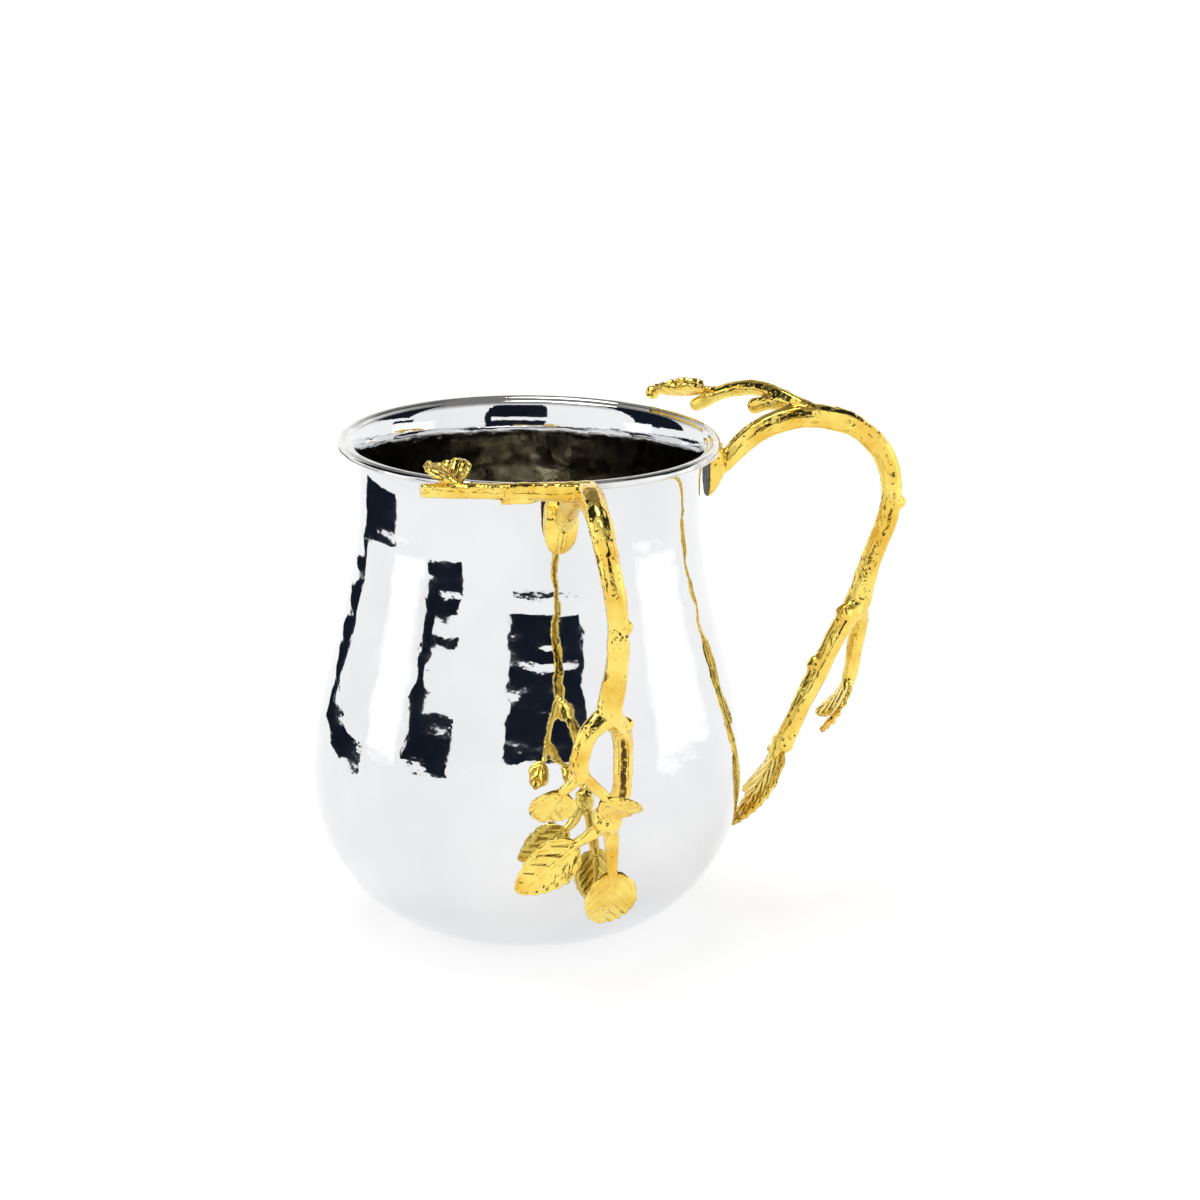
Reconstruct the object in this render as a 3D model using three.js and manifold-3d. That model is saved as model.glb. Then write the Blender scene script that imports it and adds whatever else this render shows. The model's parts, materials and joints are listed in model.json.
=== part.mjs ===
// A washing cup of hammered steel, with two gold-coloured handles cast as leafy branches.
// Millimetres, +Z up, origin at the middle of the flat underside.
// The handles stand a quarter turn apart: one towards -Y, its mirrored partner towards +X.
import * as THREE from "three";
import { mergeVertices } from "three/addons/utils/BufferGeometryUtils.js";
import Module from "manifold-3d";

const wasm = await Module();
wasm.setup();

// Driving sizes of the cup
const CUP_HEIGHT = 140;
const WALL = 1.2;
const BASE_RADIUS = 22;
const BELLY_RADIUS = 60.4;
const BELLY_HEIGHT = 43;
const BELLY_FULLNESS = 1.93;
const NECK_RADIUS = 47.6;
const NECK_HEIGHT = 122;
const FLARE_HEIGHT = 10;
const RIM_RADIUS = 53.6;
const BEAD_WIDTH = 3.6;
const BEAD_HEIGHT = 2.6;
const CUP_SIDES = 40;

// Driving sizes of the handles
const HANDLE_HEIGHT = 131;
const HANDLE_GAP = 0.3;
const BRANCH_SIDES = 8;
const BRANCH_STEP = 7;
const BARK_RELIEF = 0.07;
const PAD_WIDTH = 9.2;
const PAD_DEPTH_UNDER_RIM = 3.7;
const PAD_OVERLAP = 2.4;
const PAD_ROOT_THICKNESS = 4.2;
const PAD_SWELL = 2.6;
const PAD_FOOT_THICKNESS = 2;
const PAD_CREASE = 0.5;
const LEAF_THICKNESS = 1.3;
const LEAF_RIB = 0.5;
const LEAF_TOOTH = 0.07;
const LEAF_ROWS = 8;
const LEAF_COLUMNS = 4;
const LEAF_END_WIDTH = 0.8;

// The handles' forms are in thousandths of their height. A place is [out from the rim's edge, sideways,
// up from the rim's top], and a fourth number is a thickness. Leaves give their width, fold and curl too.
// A pad hangs below the trunk's first place by its drop.
const FRONT_BRANCHES = {
  trunk: [
    [11, -20, -80, 41], [83, -17, -14, 50], [186, -11, 24, 53], [295, -17, 4, 52],
    [369, -10, -73, 47], [389, 3, -176, 44], [347, 13, -298, 46], [318, 5, -397, 53],
  ],
  twig: [[179, -8, 29, 41], [125, -86, 18, 37], [64, -166, 8, 32], [-27, -302, -7, 30]],
  twigSpur: [[118, -84, 15, 31], [95, -118, 3, 34], [72, -161, -14, 11]],
  twigStalk: [[18, -237, 5, 23], [3, -250, 15, 20]],
  freeFork: [[318, 5, -397, 47], [333, -37, -427, 41], [334, -56, -478, 38], [326, -53, -521, 34]],
  leftStalk: [[326, -53, -516, 29], [311, -73, -545, 23], [297, -93, -565, 17]],
  rightStalk: [[326, -53, -516, 29], [313, -29, -542, 24], [290, 11, -585, 20]],
  strut: [
    [318, 5, -397, 50], [266, 44, -454, 43], [217, 60, -540, 40],
    [179, 66, -611, 40], [140, 52, -678, 46],
  ],
  lowStalk: [[140, 52, -675, 38], [121, 61, -725, 32], [95, 70, -818, 23]],
  sideStalk: [[140, 50, -679, 34], [125, 15, -713, 26], [105, -16, -741, 20]],
};
const FRONT_BUDS = [
  [389, 15, -196, 37], [282, 50, -431, 32], [140, 47, -678, 63], [333, -60, -492, 41],
];
const FRONT_LEAVES = [
  { base: [98, 73, -808], tip: [8, 67, -944], face: [1, 0, -0.4], width: 107, fold: 5, curl: 12 },
  { base: [107, -12, -738], tip: [87, -131, -838], face: [1, 0.1, 0.25], width: 96, fold: 7, curl: 8 },
  { base: [301, -90, -559], tip: [228, -111, -637], face: [0.7, -0.1, -0.5], width: 93, fold: 5, curl: 6 },
  { base: [292, 5, -583], tip: [247, 87, -624], face: [0.6, 0.1, -0.8], width: 80, fold: 6, curl: 6 },
  { base: [8, -247, 12], tip: [-92, -267, 24], face: [0.2, 0, 1], width: 95, fold: 18, curl: 5 },
];
const FRONT_PAD = { aside: -3, drop: 71 };

const RIGHT_BRANCHES = {
  trunk: [
    [11, 15, -87, 41], [83, 15, -21, 49], [188, 11, 18, 52], [295, 11, -2, 51],
    [373, 4, -70, 47], [392, -8, -173, 47], [347, -19, -302, 47], [319, -15, -397, 56],
  ],
  twig: [
    [217, 8, 24, 40], [185, 31, 40, 38], [121, 145, 53, 36],
    [65, 206, 31, 33], [21, 252, -5, 31],
  ],
  twigSpur: [[194, 23, 37, 34], [147, 69, 37, 33], [111, 99, 24, 35]],
  twigStalk: [[67, 205, 31, 26], [29, 237, 29, 23]],
  freeFork: [[319, -15, -397, 46], [338, 26, -452, 41], [336, 46, -505, 38], [323, 53, -593, 31]],
  leftStalk: [[322, 53, -591, 24], [316, 69, -612, 18]],
  rightStalk: [[323, 52, -588, 26], [313, 27, -611, 20]],
  strut: [
    [319, -15, -397, 53], [272, -46, -447, 44], [208, -65, -557, 43],
    [171, -70, -630, 40], [144, -61, -693, 43],
  ],
  lowStalk: [[144, -61, -690, 40], [134, -61, -715, 31]],
  sideStalk: [[142, -58, -690, 34], [137, -38, -705, 26], [131, -20, -718, 20]],
};
const RIGHT_BUDS = [
  [409, -8, -176, 32], [272, -31, -385, 46], [217, -58, -519, 40], [144, -61, -692, 49], [-76, 267, 23, 31],
];
const RIGHT_LEAVES = [
  { base: [140, -61, -702], tip: [32, -50, -872], face: [1, 0, -0.6], width: 104, fold: 5, curl: 8 },
  { base: [133, -24, -715], tip: [92, 69, -835], face: [0.84, -0.2, -0.4], width: 96, fold: 7, curl: 8 },
  { base: [318, 64, -608], tip: [267, 111, -679], face: [0.7, -0.07, -0.76], width: 89, fold: 5, curl: 6 },
  { base: [316, 34, -603], tip: [242, -15, -682], face: [0.76, -0.4, -0.5], width: 80, fold: 6, curl: 5 },
  { base: [37, 231, 27], tip: [-78, 267, 23], face: [0.1, 0.1, 1], width: 92, fold: 23, curl: -5 },
];
const RIGHT_PAD = { aside: 0, drop: 63 };

// Finishes
const STEEL = { color: 0xdfe1e4, roughness: 0.08, metalness: 1 };
const GOLD = { color: 0xf0c040, roughness: 0.22, metalness: 1 };

// Sampling of the cup's profile
const BELLY_STEPS = 7;
const NECK_STEPS = 6;
const FLARE_STEPS = 3;
const BEAD_STEPS = 6;
const BEAD_FIRST_ANGLE = -0.35 * Math.PI;
const BEAD_LAST_ANGLE = 1.1 * Math.PI;
const BEAD_MIDDLE = CUP_HEIGHT - BEAD_HEIGHT / 2;
const BEAD_CENTRE_RADIUS = RIM_RADIUS - BEAD_WIDTH / 2;

// The outside of the wall, from the edge of the flat base up to the bead, as [radius, height] vectors.
function wallProfile() {
  const points = [];
  const power = 2 / BELLY_FULLNESS;
  for (let i = 0; i <= BELLY_STEPS; i++) {
    const angle = (i / BELLY_STEPS) * (Math.PI / 2);
    const radius = BASE_RADIUS + (BELLY_RADIUS - BASE_RADIUS) * Math.sin(angle) ** power;
    points.push(new THREE.Vector2(radius, BELLY_HEIGHT * (1 - Math.cos(angle) ** power)));
  }
  for (let i = 1; i <= NECK_STEPS; i++) {
    const share = i / NECK_STEPS;
    const radius = NECK_RADIUS + ((BELLY_RADIUS - NECK_RADIUS) * (1 + Math.cos(Math.PI * share))) / 2;
    points.push(new THREE.Vector2(radius, BELLY_HEIGHT + (NECK_HEIGHT - BELLY_HEIGHT) * share));
  }
  const flareStart = BEAD_MIDDLE - FLARE_HEIGHT;
  for (let i = 0; i < FLARE_STEPS; i++) {
    const angle = (i / FLARE_STEPS) * (Math.PI / 2);
    const radius = NECK_RADIUS + (BEAD_CENTRE_RADIUS - NECK_RADIUS) * (1 - Math.cos(angle));
    points.push(new THREE.Vector2(radius, flareStart + FLARE_HEIGHT * Math.sin(angle)));
  }
  return points;
}

// The rolled bead, from under its outer side over the top to its inner side.
function beadProfile(grow = 0) {
  const points = [];
  for (let i = 0; i <= BEAD_STEPS; i++) {
    const angle = THREE.MathUtils.lerp(BEAD_FIRST_ANGLE, BEAD_LAST_ANGLE, i / BEAD_STEPS);
    const radius = BEAD_CENTRE_RADIUS + (BEAD_WIDTH / 2 + grow) * Math.cos(angle);
    points.push(new THREE.Vector2(radius, BEAD_MIDDLE + (BEAD_HEIGHT / 2 + grow) * Math.sin(angle)));
  }
  return points;
}

// A profile moved along its own normals: outwards for a positive distance.
function offsetProfile(points, distance) {
  return points.map((point, i) => {
    const before = points[Math.max(i - 1, 0)];
    const after = points[Math.min(i + 1, points.length - 1)];
    const along = i === 0 ? new THREE.Vector2(1, 0) : after.clone().sub(before).normalize();
    return new THREE.Vector2(point.x + along.y * distance, point.y - along.x * distance);
  });
}

// A profile turned round the cup's axis, with the axis upright.
function turned(points) {
  return new THREE.LatheGeometry(points, CUP_SIDES).rotateX(Math.PI / 2);
}

// The hollow cup: up the outside, over the bead and down the inside to the floor.
function cupGeometry() {
  const outside = wallProfile();
  const inside = offsetProfile(outside, -WALL).reverse();
  const floor = new THREE.Vector2(0, WALL);
  return turned([new THREE.Vector2(0, 0), ...outside, ...beadProfile(), ...inside, floor]);
}

// The space that the handles leave free: the cup as a solid, larger by the gap.
function cupClearance() {
  const outside = offsetProfile(wallProfile(), HANDLE_GAP);
  const foot = new THREE.Vector2(0, -HANDLE_GAP);
  const top = new THREE.Vector2(0, CUP_HEIGHT + HANDLE_GAP);
  const bead = beadProfile(HANDLE_GAP).filter((point) => point.x > BEAD_CENTRE_RADIUS - 1);
  return turned([foot, ...outside, ...bead, top]);
}

// A geometry as a solid for joining and cutting.
function solidOf(geometry) {
  const bare = geometry.clone();
  bare.deleteAttribute("normal");
  bare.deleteAttribute("uv");
  const merged = mergeVertices(bare, 1e-4);
  return new wasm.Manifold(
    new wasm.Mesh({
      numProp: 3,
      vertProperties: new Float32Array(merged.attributes.position.array),
      triVerts: new Uint32Array(merged.index.array),
    }),
  );
}

// A solid back as a geometry with flat faces.
function geometryOf(solid) {
  const mesh = solid.getMesh();
  const positions = new THREE.BufferAttribute(new Float32Array(mesh.vertProperties), mesh.numProp);
  const geometry = new THREE.BufferGeometry().setAttribute("position", positions);
  geometry.setIndex(new THREE.BufferAttribute(new Uint32Array(mesh.triVerts), 1));
  geometry.computeVertexNormals();
  return geometry;
}

// Moves every vertex of a geometry by a rule.
function reshape(geometry, rule) {
  const position = geometry.attributes.position;
  for (let i = 0; i < position.count; i++) {
    const moved = rule(position.getX(i), position.getY(i), position.getZ(i));
    position.setXYZ(i, moved.x, moved.y, moved.z);
  }
  return geometry;
}

// A value between the numbers of a list, at a share of its length.
function between(values, share) {
  const place = share * (values.length - 1);
  const low = Math.min(Math.floor(place), values.length - 2);
  return THREE.MathUtils.lerp(values[low], values[low + 1], place - low);
}

// A length on a handle, from thousandths of its height.
function handleLength(thousandths) {
  return (thousandths * HANDLE_HEIGHT) / 1000;
}

// A place on a handle, measured from the rim's top outer edge.
function handlePlace([out, side, up]) {
  return new THREE.Vector3(RIM_RADIUS + handleLength(out), handleLength(side), CUP_HEIGHT + handleLength(up));
}

// A branch: a cylinder bent along its places, as thick as each place says, with low swellings of bark.
function branch(places) {
  const curve = new THREE.CatmullRomCurve3(places.map(handlePlace));
  const thicknesses = places.map((place) => handleLength(place[3]));
  const steps = Math.max(2, Math.round(curve.getLength() / BRANCH_STEP));
  const frames = curve.computeFrenetFrames(steps, false);
  const cylinder = new THREE.CylinderGeometry(1, 1, 1, BRANCH_SIDES, steps);
  return reshape(cylinder, (x, y, z) => {
    const row = Math.round((y + 0.5) * steps);
    const share = row / steps;
    const swelling = 1 + BARK_RELIEF * Math.sin(row * 2.4 + places.length);
    const radius = (between(thicknesses, curve.getUtoTmapping(share)) / 2) * swelling;
    const middle = curve.getPointAt(share);
    middle.addScaledVector(frames.normals[row], z * radius);
    return middle.addScaledVector(frames.binormals[row], x * radius);
  });
}

// A bud or a knot in the bark.
function bud(place) {
  const { x, y, z } = handlePlace(place);
  return new THREE.IcosahedronGeometry(handleLength(place[3]) / 2, 1).translate(x, y, z);
}

// A thin blade from its start to its end. The rule gives its half width, thickness and lift at a place.
function blade(start, end, face, columns, rows, rule) {
  const along = end.clone().sub(start);
  const across = along.clone().cross(new THREE.Vector3(...face)).normalize();
  const normal = across.clone().cross(along).normalize();
  const slab = new THREE.BoxGeometry(2, 1, 1, columns, rows, 1);
  return reshape(slab, (x, y, z) => {
    const share = y + 0.5;
    const { halfWidth, thickness, lift } = rule(share, x);
    const place = start.clone().addScaledVector(along, share);
    place.addScaledVector(across, x * halfWidth);
    return place.addScaledVector(normal, lift + z * thickness);
  });
}

// A toothed oval leaf, folded along its midrib and curled along its length.
function leaf({ base, tip, face, width, fold, curl }) {
  return blade(handlePlace(base), handlePlace(tip), face, LEAF_COLUMNS, LEAF_ROWS, (share, across) => {
    const oval = Math.sin(Math.PI * share ** 0.8) ** 0.7;
    const tooth = Math.round(share * LEAF_ROWS) % 2 ? 1 + LEAF_TOOTH : 1 - LEAF_TOOTH;
    const rib = LEAF_RIB * (1 - Math.min(1, 2 * Math.abs(across)));
    return {
      halfWidth: (LEAF_END_WIDTH + (handleLength(width) - LEAF_END_WIDTH) * oval * tooth) / 2,
      thickness: LEAF_THICKNESS + rib,
      lift: handleLength(fold * across ** 2 * oval + curl * Math.sin(Math.PI * share)),
    };
  });
}

// The tongue under the arch: a teardrop wedge with an upright inner face, creased down its middle.
function pad({ aside, drop }, trunkStart) {
  const foot = handlePlace(trunkStart).add(new THREE.Vector3(0, handleLength(aside), -handleLength(drop)));
  foot.x = RIM_RADIUS - PAD_OVERLAP;
  const root = new THREE.Vector3(foot.x, foot.y, CUP_HEIGHT - PAD_DEPTH_UNDER_RIM);
  return blade(root, foot, [1, 0, 0], LEAF_COLUMNS, LEAF_ROWS, (share, across) => {
    const taper = THREE.MathUtils.lerp(PAD_ROOT_THICKNESS, PAD_FOOT_THICKNESS, share);
    const thickness = taper + PAD_SWELL * Math.sin(Math.PI * share) + PAD_CREASE * across ** 2;
    const roundness = Math.sqrt(1 - Math.abs(1.5 * share - 0.55) ** 4.4);
    return { halfWidth: (PAD_WIDTH / 2) * Math.max(0.2, roundness), thickness, lift: thickness / 2 };
  });
}

// One casting: branches, buds, leaves and pad joined, and cut back to the gap round the cup.
function handleGeometry({ branches, buds, leaves, padPlace }) {
  const stems = Object.values(branches).map(branch);
  const pieces = [...stems, ...buds.map(bud), ...leaves.map(leaf), pad(padPlace, branches.trunk[0])];
  const joined = pieces.map(solidOf).reduce((whole, piece) => whole.add(piece));
  return geometryOf(joined.subtract(solidOf(cupClearance())));
}

// A named mesh with a finish of its own.
function piece(name, geometry, finish) {
  const mesh = new THREE.Mesh(geometry, new THREE.MeshStandardMaterial(finish));
  mesh.name = name;
  return mesh;
}

const cupBody = piece("cup_body", cupGeometry(), STEEL);
const frontHandle = piece(
  "front_handle",
  handleGeometry({ branches: FRONT_BRANCHES, buds: FRONT_BUDS, leaves: FRONT_LEAVES, padPlace: FRONT_PAD }),
  GOLD,
);
frontHandle.rotation.z = -Math.PI / 2;
const rightHandle = piece(
  "right_handle",
  handleGeometry({ branches: RIGHT_BRANCHES, buds: RIGHT_BUDS, leaves: RIGHT_LEAVES, padPlace: RIGHT_PAD }),
  GOLD,
);

const washingCup = new THREE.Group();
washingCup.add(cupBody, frontHandle, rightHandle);
export default washingCup;
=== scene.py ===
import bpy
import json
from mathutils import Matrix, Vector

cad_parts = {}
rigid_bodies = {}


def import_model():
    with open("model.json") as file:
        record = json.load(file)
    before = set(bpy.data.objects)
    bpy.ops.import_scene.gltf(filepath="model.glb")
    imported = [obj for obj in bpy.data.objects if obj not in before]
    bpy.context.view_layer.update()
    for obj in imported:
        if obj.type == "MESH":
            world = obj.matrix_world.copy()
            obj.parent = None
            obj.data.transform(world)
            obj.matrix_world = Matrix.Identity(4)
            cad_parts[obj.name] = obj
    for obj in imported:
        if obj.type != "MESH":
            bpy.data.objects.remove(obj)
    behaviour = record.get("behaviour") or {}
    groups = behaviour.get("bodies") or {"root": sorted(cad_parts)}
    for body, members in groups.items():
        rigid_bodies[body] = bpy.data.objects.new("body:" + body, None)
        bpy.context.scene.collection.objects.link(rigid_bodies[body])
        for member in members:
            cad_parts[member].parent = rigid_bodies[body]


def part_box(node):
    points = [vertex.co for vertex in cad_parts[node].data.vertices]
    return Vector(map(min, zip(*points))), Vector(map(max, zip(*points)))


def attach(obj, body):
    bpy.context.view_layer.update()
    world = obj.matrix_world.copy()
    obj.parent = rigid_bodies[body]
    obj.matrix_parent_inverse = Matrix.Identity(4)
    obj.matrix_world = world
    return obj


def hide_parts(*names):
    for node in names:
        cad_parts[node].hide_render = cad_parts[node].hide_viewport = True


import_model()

"""A washing cup of hammered steel with branch-shaped handles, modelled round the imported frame.

Everything is in metres in the frame of the CAD: +Z up, the origin in the middle of the flat underside,
one handle towards -Y and its mirrored partner towards +X.
"""
import json
import logging
import math
from collections.abc import Iterator
from contextlib import contextmanager
from dataclasses import dataclass, field
from enum import Enum

import bpy
import numpy as np
from mathutils import Matrix, Vector, kdtree, noise

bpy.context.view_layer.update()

MM = 0.001
BODY = "root"
LOG = logging.getLogger("washing_cup")

Colour = tuple[float, float, float]
Place = tuple[float, ...]
Span = tuple[float, float]

BLACK: Colour = (0, 0, 0)
WHITE: Colour = (1, 1, 1)


class Side(Enum):
    """Which way a handle points, as its turn about the cup's axis in degrees."""

    FRONT = -90.0
    RIGHT = 0.0


# Helpers for modelling


def deselect_all() -> None:
    """Leaves nothing selected, so an operator acts only on what it is given."""
    for item in bpy.context.view_layer.objects.selected:
        item.select_set(False)


def make_active(piece: bpy.types.Object) -> None:
    """Selects one piece alone and makes it the active one.

    Args:
        piece: The piece to work on.
    """
    deselect_all()
    piece.select_set(True)
    bpy.context.view_layer.objects.active = piece


def name_piece(name: str) -> bpy.types.Object:
    """Names the newly added primitive and its mesh.

    Args:
        name: The name of the piece.

    Returns:
        The object.
    """
    piece = bpy.context.active_object
    piece.name = name
    piece.data.name = name
    return piece


@contextmanager
def editing(piece: bpy.types.Object) -> Iterator[None]:
    """Opens a piece in edit mode with all of it selected, and leaves edit mode at the end.

    Args:
        piece: The piece to edit.
    """
    make_active(piece)
    bpy.ops.object.mode_set(mode="EDIT")
    bpy.ops.mesh.select_all(action="SELECT")
    yield
    bpy.ops.object.mode_set(mode="OBJECT")


def join(pieces: list[bpy.types.Object]) -> bpy.types.Object:
    """Joins pieces into the first of them.

    Args:
        pieces: The pieces to join.

    Returns:
        The first piece, which now holds all the meshes.
    """
    make_active(pieces[0])
    for piece in pieces[1:]:
        piece.select_set(True)
    bpy.ops.object.join()
    return pieces[0]


def apply_modifier(piece: bpy.types.Object, kind: str, **settings: object) -> None:
    """Adds a modifier with its settings and applies it.

    Args:
        piece: The piece to change.
        kind: Blender's name of the modifier's type.
        **settings: Values set on the modifier.
    """
    make_active(piece)
    modifier = piece.modifiers.new(kind.title(), kind)
    for key, value in settings.items():
        setattr(modifier, key, value)
    bpy.ops.object.modifier_apply(modifier=modifier.name)


def vertices_of(piece: bpy.types.Object) -> np.ndarray:
    """The piece's vertices as rows of x, y and z."""
    coords = np.empty(len(piece.data.vertices) * 3)
    piece.data.vertices.foreach_get("co", coords)
    return coords.reshape(-1, 3)


def normals_of(piece: bpy.types.Object) -> np.ndarray:
    """The piece's vertex normals as rows of x, y and z."""
    normals = np.empty(len(piece.data.vertices) * 3)
    piece.data.vertices.foreach_get("normal", normals)
    return normals.reshape(-1, 3)


def set_vertices(piece: bpy.types.Object, coords: np.ndarray) -> None:
    """Moves the piece's vertices.

    Args:
        piece: The piece to change.
        coords: The new places, one row for each vertex.
    """
    piece.data.vertices.foreach_set("co", coords.reshape(-1))
    piece.data.update()


def shade_smooth(piece: bpy.types.Object) -> None:
    """Shades the piece smoothly all over."""
    make_active(piece)
    bpy.ops.object.shade_smooth()


def fall(distance: np.ndarray, width: float) -> np.ndarray:
    """A bell-shaped falloff that is one at no distance and about a third at the width."""
    return np.exp(-((distance / width) ** 2))


def noise_along(places: np.ndarray, size: float, seed: float) -> np.ndarray:
    """A smooth noise at places on a flat sheet.

    Args:
        places: Rows of two coordinates.
        size: The width of one swell, in the same unit.
        seed: A number of its own for each sheet.

    Returns:
        The noise at each place, about -0.5 to 0.5.
    """
    return np.array([noise.noise(Vector((u / size, v / size, 5.3 * seed))) for u, v in places])


def store(piece: bpy.types.Object, name: str, values: np.ndarray) -> None:
    """Stores a number at each vertex of a piece, for its finish to read.

    Args:
        piece: The piece.
        name: The attribute's name.
        values: The numbers.
    """
    attribute = piece.data.attributes.new(name, "FLOAT", "POINT")
    attribute.data.foreach_set("value", values.astype(np.float32))


# Finishes


class Nodes:
    """Builds the nodes of one material."""

    def __init__(self, name: str) -> None:
        """Starts an empty material with its shader and output.

        Args:
            name: The material's name.
        """
        self.material = bpy.data.materials.new(name)
        self.material.use_nodes = True
        self.tree = self.material.node_tree
        self.shader = self.tree.nodes["Principled BSDF"]
        self.coordinates = self.tree.nodes.new("ShaderNodeTexCoord").outputs["Object"]

    def add(self, kind: str, **values: object) -> bpy.types.Node:
        """Adds a node and sets its values.

        Args:
            kind: The node's type without the leading ShaderNode.
            **values: Settings of the node, or of an input where the name matches one.

        Returns:
            The node.
        """
        node = self.tree.nodes.new("ShaderNode" + kind)
        for key, value in values.items():
            title = key.replace("_", " ").title()
            if title in node.inputs:
                node.inputs[title].default_value = value
            else:
                setattr(node, key, value)
        return node

    def link(self, output: bpy.types.NodeSocket, target: bpy.types.NodeSocket) -> None:
        """Links an output to an input."""
        self.tree.links.new(output, target)

    def noise(self, scale: float, detail: float) -> bpy.types.NodeSocket:
        """A noise on the object's own coordinates.

        Args:
            scale: How many waves fit in a metre.
            detail: How many finer layers it has.

        Returns:
            The noise's factor.
        """
        node = self.add("TexNoise", scale=scale, detail=detail)
        self.link(self.coordinates, node.inputs["Vector"])
        return node.outputs[0]

    def ramp(
        self, source: bpy.types.NodeSocket, span: Span, low: Colour, high: Colour
    ) -> bpy.types.NodeSocket:
        """A colour ramp over a span of a factor.

        Args:
            source: The factor.
            span: Where the ramp starts and ends.
            low: The colour up to its start.
            high: The colour from its end on.

        Returns:
            The ramp's colour.
        """
        node = self.add("ValToRGB")
        for element, position, colour in zip(node.color_ramp.elements, span, (low, high)):
            element.position = position
            element.color = (*colour, 1)
        self.link(source, node.inputs[0])
        return node.outputs[0]

    def product(self, first: bpy.types.NodeSocket, second: bpy.types.NodeSocket) -> bpy.types.NodeSocket:
        """The product of two factors."""
        node = self.add("Math", operation="MULTIPLY")
        self.link(first, node.inputs[0])
        self.link(second, node.inputs[1])
        return node.outputs[0]

    def times_plus(
        self, factor: bpy.types.NodeSocket, times: float, plus: bpy.types.NodeSocket
    ) -> bpy.types.NodeSocket:
        """A factor times a number, plus another factor."""
        node = self.add("Math", operation="MULTIPLY_ADD")
        self.link(factor, node.inputs[0])
        node.inputs[1].default_value = times
        self.link(plus, node.inputs[2])
        return node.outputs[0]

    def mix(self, factor: bpy.types.NodeSocket, low: object, high: object) -> bpy.types.NodeSocket:
        """Mixes two colours, each a socket or a fixed colour.

        Args:
            factor: The share of the second colour.
            low: The first colour.
            high: The second colour.

        Returns:
            The mixed colour.
        """
        node = self.add("Mix", data_type="RGBA")
        self.link(factor, node.inputs["Factor"])
        for socket, value in ((node.inputs[6], low), (node.inputs[7], high)):
            if isinstance(value, bpy.types.NodeSocket):
                self.link(value, socket)
            else:
                socket.default_value = (*value, 1)
        return node.outputs[2]

    def bump(self, height: bpy.types.NodeSocket, strength: float, distance: float) -> None:
        """Gives the shader a bump.

        Args:
            height: The height factor.
            strength: The bump's strength.
            distance: The height in metres of a factor of one.
        """
        node = self.add("Bump", strength=strength, distance=distance)
        self.link(height, node.inputs["Height"])
        self.give("Normal", node.outputs[0])

    def give(self, name: str, value: object) -> None:
        """Gives an input of the shader a fixed value, or links a factor or a colour to it.

        Args:
            name: The input's name.
            value: The fixed value, or the socket to link.
        """
        target = self.shader.inputs[name]
        if isinstance(value, bpy.types.NodeSocket):
            self.link(value, target)
        else:
            target.default_value = value

    def attribute(self, name: str) -> bpy.types.NodeSocket:
        """The number that the piece stores under a name."""
        return self.add("Attribute", attribute_name=name).outputs["Fac"]

    def spread(self, source: bpy.types.NodeSocket, span: Span, result: Span) -> bpy.types.NodeSocket:
        """A factor with one span of it stretched onto another.

        Args:
            source: The factor.
            span: The span of the factor that counts.
            result: The values at the start and the end of that span.

        Returns:
            The new factor.
        """
        node = self.add("MapRange")
        for name, value in zip(("From Min", "From Max", "To Min", "To Max"), (*span, *result)):
            node.inputs[name].default_value = value
        self.link(source, node.inputs["Value"])
        return node.outputs[0]


@dataclass(frozen=True)
class HammeredSteel:
    """Polished steel: a mirror outside, and inside a hazier surface with turned rings and painted shade, a
    dark brown mottled with a paler colour.
    """

    name: str = "hammered_steel"
    clean: Colour = (0.81, 0.815, 0.825)
    dull: Colour = (0.75, 0.755, 0.77)
    inner_shade: Colour = (0.17, 0.155, 0.12)
    inner_pale: Colour = (0.8, 0.77, 0.68)
    dull_scale: float = 38
    dull_span: Span = (0.35, 0.75)
    ring_scale: float = 110
    ring_distortion: float = 5
    ring_share: float = 0.35
    ring_height: float = 2.0
    mottle_scale: float = 170
    mottle_span: Span = (0.52, 0.76)
    polish_scale: float = 150
    polish_span: Span = (0.35, 0.7)
    roughness: Span = (0.03, 0.07)
    inner_haze: float = 0.08
    grain_scale: float = 260
    bump_strength: float = 0.12
    bump_distance: float = 0.0004
    inner_attribute: str = "inner"

    def build(self) -> bpy.types.Material:
        """Makes the material.

        Returns:
            The material.
        """
        nodes = Nodes(self.name)
        inner = nodes.attribute(self.inner_attribute)
        wave = nodes.add("TexWave", wave_type="RINGS", rings_direction="Z", detail=3)
        wave.inputs["Scale"].default_value = self.ring_scale
        wave.inputs["Distortion"].default_value = self.ring_distortion
        nodes.link(nodes.coordinates, wave.inputs["Vector"])
        rings = wave.outputs["Fac"]
        # Painted shade inside the cup: the turned rings and a noise mottle a dark brown with a paler colour.
        inner_mottle = nodes.times_plus(rings, self.ring_share, nodes.noise(self.mottle_scale, detail=5))
        inside = nodes.ramp(inner_mottle, self.mottle_span, self.inner_shade, self.inner_pale)
        outside = nodes.ramp(nodes.noise(self.dull_scale, detail=3), self.dull_span, self.clean, self.dull)
        polish = nodes.spread(nodes.noise(self.polish_scale, detail=4), self.polish_span, self.roughness)
        nodes.give("Metallic", 1.0)
        nodes.give("Base Color", nodes.mix(inner, outside, inside))
        nodes.give("Roughness", nodes.times_plus(inner, self.inner_haze, polish))
        turned = nodes.product(rings, inner)
        height = nodes.times_plus(turned, self.ring_height, nodes.noise(self.grain_scale, detail=2))
        nodes.bump(height, self.bump_strength, self.bump_distance)
        return nodes.material


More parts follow.
